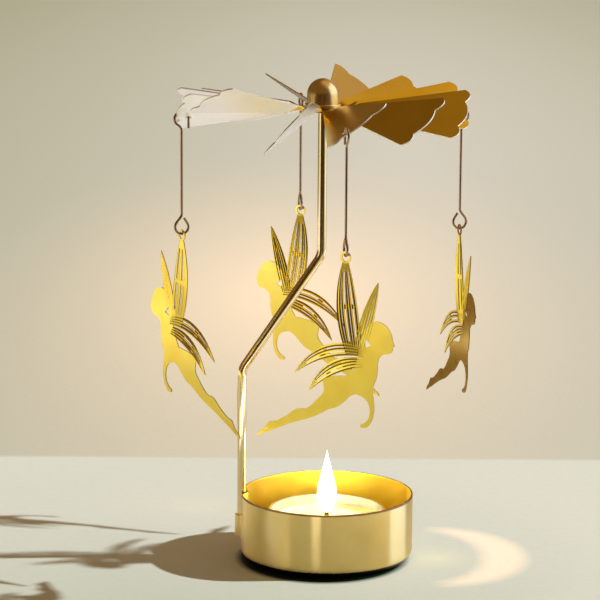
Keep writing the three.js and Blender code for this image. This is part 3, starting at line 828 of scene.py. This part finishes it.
def spline_points(points, steps):
    found = []
    for place in range(len(points) - 1):
        before = points[max(place - 1, 0)]
        start, end = points[place], points[place + 1]
        after = points[min(place + 2, len(points) - 1)]
        lead, trail = (end - before) / 2, (after - start) / 2
        for step in range(steps):
            share = step / steps
            found.append((2 * start - 2 * end + lead + trail) * share ** 3
                         + (3 * end - 3 * start - 2 * lead - trail) * share ** 2 + lead * share + start)
    return found


# A flat prism in the charm's plane
def slab(name, points, thickness):
    count = len(points)
    half = Vector((0, thickness / 2, 0))
    corners = [point - half for point in points] + [point + half for point in points]
    faces = [list(range(count)), list(range(2 * count - 1, count - 1, -1))]
    for place in range(count):
        following = (place + 1) % count
        faces.append([place, place + count, following + count, following])
    return settled(mesh_object(name, corners, faces))


def ring_points(radius, count):
    angles = [2 * math.pi * place / count for place in range(count)]
    return [Vector((radius * math.cos(angle), 0, radius * math.sin(angle))) for angle in angles]


def wing_sheet(number, wing):
    root, tip = figure_point(wing["root_shares"]), figure_point(wing["tip_shares"])
    reach = tip - root
    side = Vector((-reach.z, 0, reach.x)).normalized()
    columns = wing["columns"]

    def skins(row, column):
        along = row / (wing_rows - 1)
        across = 2 * column / (columns - 1) - 1
        swell = wing["swell_start"] + (1 - wing["swell_start"]) * along
        fullness = max(wing_least_fullness, math.sin(math.pi * swell)) ** wing_fullness
        half_width = wing["half_width"] * fullness
        relief = (wing_relief if column % 2 else -wing_relief) * fullness
        middle = root + reach * along + side * wing["arch"] * bow(along)
        point = middle + side * half_width * across
        rise = relief + wing_proud * (number + 1)
        return [point + Vector((0, rise + half, 0)) for half in (-charm_sheet / 2, charm_sheet / 2)]

    def is_open(row, column):
        along = (row + 0.5) / (wing_rows - 1)
        in_run = any(low < along < high for low, high in wing["run_shares"])
        return in_run and column in wing["slot_columns"]

    return settled(sheet_object("wing_sheet", wing_rows, columns, skins, is_open, closed=False))


def combined(obj, other, operation, sharp_angle=joined_angle):
    modifier = obj.modifiers.new("join", "BOOLEAN")
    modifier.operation = operation
    modifier.solver = "EXACT"
    modifier.object = other
    result = settled(obj, sharp_angle)
    bpy.data.objects.remove(other)
    return result


def charm_shape():
    outline = []
    for run in figure_outline_shares:
        outline += spline_points([figure_point(shares) for shares in run], outline_steps)
    charm = slab("charm", outline, charm_sheet)
    for number, wing in enumerate(wings):
        charm = combined(charm, wing_sheet(number, wing), "UNION")
    tab = slab("tab", ring_points(tab_radius, tab_steps), charm_sheet * tab_thickness_share)
    charm = combined(charm, tab, "UNION")
    through = charm_sheet * punch_thickness_share
    hole = slab("hole", ring_points(tab_hole_radius, tab_steps), through)
    charm = combined(charm, hole, "DIFFERENCE")
    nape = slab("nape", [figure_point(shares) for shares in nape_opening_shares], through)
    return combined(charm, nape, "DIFFERENCE", charm_crisp_angle)


def charm_angle(side):
    return arm_angle(joints["swing_" + side]) + math.pi / 2 + math.radians(charm_turns[side])


def charm_piece(shape, side):
    mesh = shape.data.copy()
    place = Matrix.Translation(joints["turn_" + side]["pos_m"])
    mesh.transform(place @ Matrix.Rotation(charm_angle(side), 4, "Z"))
    return link(bpy.data.objects.new("charm_" + side, mesh))


# Tealight
def foil_piece():
    inner_radius = tealight_radius - tealight_sheet
    centre_radius = tealight_radius - tealight_corner_radius
    top = tealight_height - tealight_rim_radius
    profile = [
        (0, tealight_sheet),
        *profile_arc(centre_radius, tealight_corner_radius, tealight_corner_radius - tealight_sheet,
                     -math.pi / 2, 0, tealight_corner_steps),
        (inner_radius, top),
        *profile_arc(tealight_radius, top, tealight_rim_radius, tealight_rim_curl, -math.pi / 2,
                     tealight_rim_steps),
        (tealight_radius, top - tealight_rim_radius),
        *profile_arc(centre_radius, tealight_corner_radius, tealight_corner_radius, 0, -math.pi / 2,
                     tealight_corner_steps),
        (0, 0),
    ]
    return lathe_object("foil_cup", profile[::-1], round_segments, Vector((0, 0, tealight_floor)))


def wax_piece():
    floor = tealight_sheet + fit_gap
    edge = tealight_radius - tealight_sheet - fit_gap
    top = floor + wax_height
    tab_clear = wick_tab_radius + fit_gap
    bore = wick_radius + fit_gap
    collar_clear = bore + wick_tab_sheet + fit_gap
    collar_top = floor + wick_tab_sheet + wick_collar_height + fit_gap
    pool = top - wax_pool_depth
    slope = []
    for step in range(wax_slope_steps + 1):
        share = step / wax_slope_steps
        inward = wax_bead_width + (wax_shoulder_width - wax_bead_width) * share
        slope.append((edge - inward, top - wax_pool_depth * (1 - math.cos(math.pi * share)) / 2))
    climb = []
    for step in range(wax_climb_steps + 1):
        share = step / wax_climb_steps
        climb.append((bore + wax_bead_width * (1 - share), pool + wax_pool_depth / 2 * share ** 2))
    profile = [
        (tab_clear, floor),
        (edge - tealight_corner_radius, floor),
        (edge, floor + tealight_corner_radius),
        (edge, top - wax_bead_width / 3),
        (edge - wax_bead_width / 3, top),
        *slope,
        *climb,
        (bore, collar_top),
        (collar_clear, collar_top),
        (collar_clear, floor + wick_tab_sheet + fit_gap),
        (tab_clear, floor + wick_tab_sheet + fit_gap),
    ]
    return lathe_object("wax_body", profile, round_segments, Vector((0, 0, tealight_floor)))


def wick_piece():
    low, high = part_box("wick")
    path = []
    for step in range(wick_steps + 1):
        share = step / wick_steps
        bend = max(0, share - wick_bend_start) ** 2 * wick_bend
        path.append(Vector((bend, 0, low.z + (high.z - low.z) * share)))
    shares = [1 + wick_swell * math.sin(wick_swell_turn * step) for step in range(wick_steps)]
    shares.append(wick_tip_share)
    return tube_object("wick_cord", path, wick_radius * wick_cord_share, wick_resolution, shares)


def flame_piece():
    profile = []
    points = [Vector((radius, 0, height)) for height, radius in flame_shares]
    for point in [*spline_points(points, flame_steps), points[-1]]:
        height = flame_base_height + point.z * (flame_tip_height - flame_base_height)
        profile.append((max(0.0, point.x) * flame_radius, height))
    profile[0] = (0, profile[0][1])
    profile[-1] = (0, profile[-1][1])
    return lathe_object("flame", profile, flame_segments)


def dressed(obj, material, slot, body, *nodes):
    obj.data.materials.append(material)
    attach(obj, body)
    if nodes:
        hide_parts(*nodes)
    return obj


# A second material on some of a piece's faces
def painted(obj, material, chosen):
    obj.data.materials.append(material)
    for face in obj.data.polygons:
        if chosen(face):
            face.material_index = len(obj.data.materials) - 1


# Whether a face is a sheet's cut edge, by the way that the sheet faces there
def is_edge(face, across):
    return abs(face.normal.dot(across)) < facing_share


def blade_across(point):
    angle = math.atan2(point.y - rotor_axis.y, point.x - rotor_axis.x)
    place = (angle - first_blade_angle) / (2 * math.pi / blade_count)
    blade = round(place) % blade_count
    degrees, _, sway = blade_bends.get(blade, plain_bend)
    pitch = math.radians(degrees)
    turn = first_blade_angle + blade * 2 * math.pi / blade_count + math.radians(sway)
    return Matrix.Rotation(turn, 3, "Z") @ Vector((0, -math.sin(pitch), math.cos(pitch)))


def on_blade(face):
    return (face.center - rotor_axis).xy.length > hub_radius + neck_length


# The cup's inside faces, which get the painted candlelight glow
def on_cup_inside(face):
    return face.normal.xy.dot(face.center.xy) < -facing_share * face.center.xy.length


# The rim's outer band and top, which get painted shade
def in_painted_rim_shade(face):
    outward = face.normal.xy.dot(face.center.xy) > -facing_share * face.center.xy.length
    return outward and face.center.z > cup_height - rim_shade_height


# The bottom corner's faces, which get painted contact shade
def in_painted_foot_shade(face):
    return face.center.z < foot_shade_height and face.normal.z < 0


def build_object():
    brass = {name: brass_material(name) for name in brass_finishes}
    cup = dressed(cup_piece(), brass["drawn_brass"], "polished_brass", "stand", "cup")
    # The cup's inside is satin brass with painted candlelight glow
    painted(cup, brass["satin_inside_painted_glow"], on_cup_inside)
    # A band of painted shade along the rim
    painted(cup, brass["painted_edge_shade"], in_painted_rim_shade)
    # The bottom corner gets painted contact shade
    painted(cup, brass["painted_foot_shade"], in_painted_foot_shade)
    dressed(rod_piece(), brass["polished_brass"], "polished_brass", "stand", "upright_rod")
    dressed(cap_piece(), brass["turned_brass"], "polished_brass", "rotor", "pivot_cap")
    spinner = dressed(spinner_piece(), brass["blade_sheet"], "brass_sheet", "rotor", "spinner")
    # The blades' undersides get painted glare
    painted(spinner, brass["underside_painted_glare"],
            lambda face: on_blade(face) and face.normal.z < underside_slope)
    # The blades' cut edges get a painted highlight
    painted(spinner, brass["painted_edge_highlight"],
            lambda face: on_blade(face) and is_edge(face, blade_across(face.center)))
    shape = charm_shape()
    for side in charm_turns:
        dressed(hanger_piece(side), brass["brass_wire"], "brass_wire", "hanger_" + side, "hanger_" + side)
        fairy = "fairy_" + side
        charm = dressed(charm_piece(shape, side), brass["charm_sheet"], "brass_sheet", fairy, fairy)
        # The charms' cut edges get painted shade, standing in for the shadow in their slots and along the
        # outline
        across = Matrix.Rotation(charm_angle(side), 3, "Z") @ Vector((0, 1, 0))
        painted(charm, brass["painted_edge_shade"], lambda face: is_edge(face, across))
    bpy.data.objects.remove(shape)
    dressed(foil_piece(), finish_material("pressed_foil"), "foil", "tealight", "tealight_cup")
    dressed(wax_piece(), finish_material("candle_wax"), "wax", "tealight", "candle_wax")
    dressed(wick_piece(), finish_material("charred_cotton"), "cotton", "tealight", "wick")
    frame["nodes"]["wick_tab"].material_slots[0].material = finish_material("tinned_tab")
    flame = dressed(flame_piece(), flame_material(), None, "tealight")
    flame.visible_shadow = False
    flame.visible_diffuse = False


# A colour with a share of another added
def added(surface, colour, other, share):
    gained = surface.add("ShaderNodeVectorMath", {"operation": "SCALE"}, Vector=other, Scale=share)
    both = surface.add("ShaderNodeVectorMath", {"operation": "ADD"})
    surface.feed(both.inputs[0], colour)
    surface.feed(both.inputs[1], gained.outputs["Vector"])
    return both.outputs["Vector"]


# Where a floor point is, in reaches from a centre
def placed(surface, centre, reach):
    (x, y), (wide, deep) = centre, reach
    return surface.add("ShaderNodeMapping", Vector=surface.coordinates, Scale=(1 / wide, 1 / deep, 1),
                       Location=(-x / wide, -y / deep, 0)).outputs["Vector"]


# A shade with patches of light on it
def lit(surface, shade, *patches):
    total = surface.add("ShaderNodeCombineXYZ", X=shade[0], Y=shade[1], Z=shade[2]).outputs["Vector"]
    for patch in patches:
        fade = surface.add("ShaderNodeTexGradient", {"gradient_type": "QUADRATIC_SPHERE"},
                           Vector=placed(surface, patch["centre"], patch["reach"])).outputs["Fac"]
        total = added(surface, total, patch["colour"], fade)
    return total


# How far a floor point is inside a soft-edged disc
def inside(surface, disc, softness):
    radius = surface.add("ShaderNodeVectorMath", {"operation": "LENGTH"}, Vector=placed(surface, *disc))
    return surface.add("ShaderNodeMapRange", Value=radius.outputs["Value"], From_Min=1 + softness / 2,
                       From_Max=1 - softness / 2).outputs["Result"]


def with_crescent(surface, colour):
    whole, missing = (inside(surface, disc, crescent_softness) for disc in crescent_discs)
    left = surface.add("ShaderNodeMath", {"operation": "SUBTRACT", "use_clamp": True})
    surface.feed(left.inputs[0], whole)
    surface.feed(left.inputs[1], missing)
    return added(surface, colour, crescent_colour, left.outputs["Value"])


# A pale table, its far part in the wall's colours
def floor_material():
    surface = Surface("pale_table", Roughness=floor_roughness, Specular_IOR_Level=floor_gloss)
    depth = surface.add("ShaderNodeSeparateXYZ", Vector=surface.coordinates).outputs["Y"]
    far = surface.add("ShaderNodeMapRange", Value=depth, From_Min=table_depth - table_edge_softness,
                      From_Max=table_depth + table_edge_softness).outputs["Result"]
    table = with_crescent(surface, lit(surface, table_shade, table_painted_shade, cup_glow, candle_glow))
    contact = inside(surface, contact_shade["disc"], contact_softness)
    mix = surface.add("ShaderNodeMix", {"data_type": "RGBA"})
    surface.feed(mix.inputs["Factor"], far)
    surface.feed(mix.inputs[6], added(surface, table, contact_shade["colour"], contact))
    surface.feed(mix.inputs[7], lit(surface, wall_shade, wall_light, wall_glow))
    grain = surface.spread(surface.noise(*floor_grain_noise), *floor_grain_shares)
    toned = surface.add("ShaderNodeVectorMath", {"operation": "SCALE"}, Vector=mix.outputs[2], Scale=grain)
    surface.shade("Base Color", toned.outputs["Vector"])
    return surface.material


# A level four-sided sheet between two corners
def level_object(name, near_left, far_right, height):
    (left, near), (right, far) = near_left, far_right
    points = [(left, near, height), (right, near, height), (right, far, height), (left, far, height)]
    return mesh_object(name, points, [[0, 1, 2, 3]])


def build_floor():
    floor = level_object("floor", (-floor_reach, -floor_reach), (floor_reach, floor_reach), floor_height)
    floor.data.materials.append(floor_material())


# A dim warm room with its light above, to the right
def build_world():
    world = bpy.data.worlds.new("studio")
    bpy.context.scene.world = world
    world.use_nodes = True
    nodes, links = world.node_tree.nodes, world.node_tree.links
    direction = nodes.new("ShaderNodeTexCoord")
    nearness = nodes.new("ShaderNodeVectorMath")
    turn = nodes.new("ShaderNodeMapRange")
    mix = nodes.new("ShaderNodeMix")
    turn.interpolation_type = "SMOOTHSTEP"
    mix.data_type = "RGBA"
    nearness.operation = "DOT_PRODUCT"
    nearness.inputs[1].default_value = sky_direction
    turn.inputs["From Min"].default_value, turn.inputs["From Max"].default_value = sky_edge
    mix.inputs[6].default_value = (*sky_dark, 1)
    mix.inputs[7].default_value = (*sky_bright, 1)
    links.new(direction.outputs["Generated"], nearness.inputs[0])
    links.new(nearness.outputs["Value"], turn.inputs["Value"])
    links.new(turn.outputs["Result"], mix.inputs["Factor"])
    links.new(mix.outputs[2], nodes["Background"].inputs["Color"])


def build_card(name, azimuths, distance, heights, colour):
    start, end = (math.radians(azimuth) for azimuth in azimuths)
    points = []
    for step in range(card_steps + 1):
        angle = start + (end - start) * step / card_steps
        for height in heights:
            points.append((distance * math.cos(angle), distance * math.sin(angle), height))
    faces = [[2 * step, 2 * step + 1, 2 * step + 3, 2 * step + 2] for step in range(card_steps)]
    lit_card(mesh_object(name, points, faces), colour)


def lit_card(obj, colour):
    surface = Surface(obj.name, Roughness=1.0, Specular_IOR_Level=0.0, Base_Color=(0, 0, 0, 1),
                      Emission_Color=(*colour, 1), Emission_Strength=1.0)
    obj.data.materials.append(surface.material)
    obj.visible_camera = False
    obj.visible_diffuse = False
    obj.visible_shadow = False


def build_cards():
    for name, card in cards.items():
        build_card(name, *card)
    level = level_object("table_card", *table_card["corners"], table_card["height"])
    lit_card(level, table_card["colour"])


def lamp_object(name, kind, colour, energy):
    lamp = bpy.data.lights.new(name, kind)
    lamp.energy = energy
    lamp.color = colour
    return link(bpy.data.objects.new(name, lamp))


def build_lamps():
    sun = lamp_object("sun", "SUN", sun_colour, sun_energy)
    sun.data.angle = sun_width
    sun.visible_glossy = False
    sun.rotation_euler = sun_direction.to_track_quat("Z", "Y").to_euler()
    candle = lamp_object("candle", "POINT", candle_colour, candle_energy)
    candle.data.shadow_soft_size = candle_size
    candle.location = (0, 0, candle_height)
    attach(candle, "tealight")


def build_camera():
    camera = bpy.data.cameras.new("camera")
    camera.sensor_width = camera_sensor
    camera.lens = camera_lens
    camera.clip_end = camera_reach
    obj = link(bpy.data.objects.new("camera", camera))
    obj.matrix_world = (Matrix.Translation(camera_place) @ Matrix.Rotation(camera_pitch, 4, "X")
                        @ Matrix.Rotation(camera_roll, 4, "Z"))
    bpy.context.scene.camera = obj


bpy.context.scene.view_settings.view_transform = "Standard"
build_camera()
build_object()
build_floor()
build_world()
build_lamps()
build_cards()
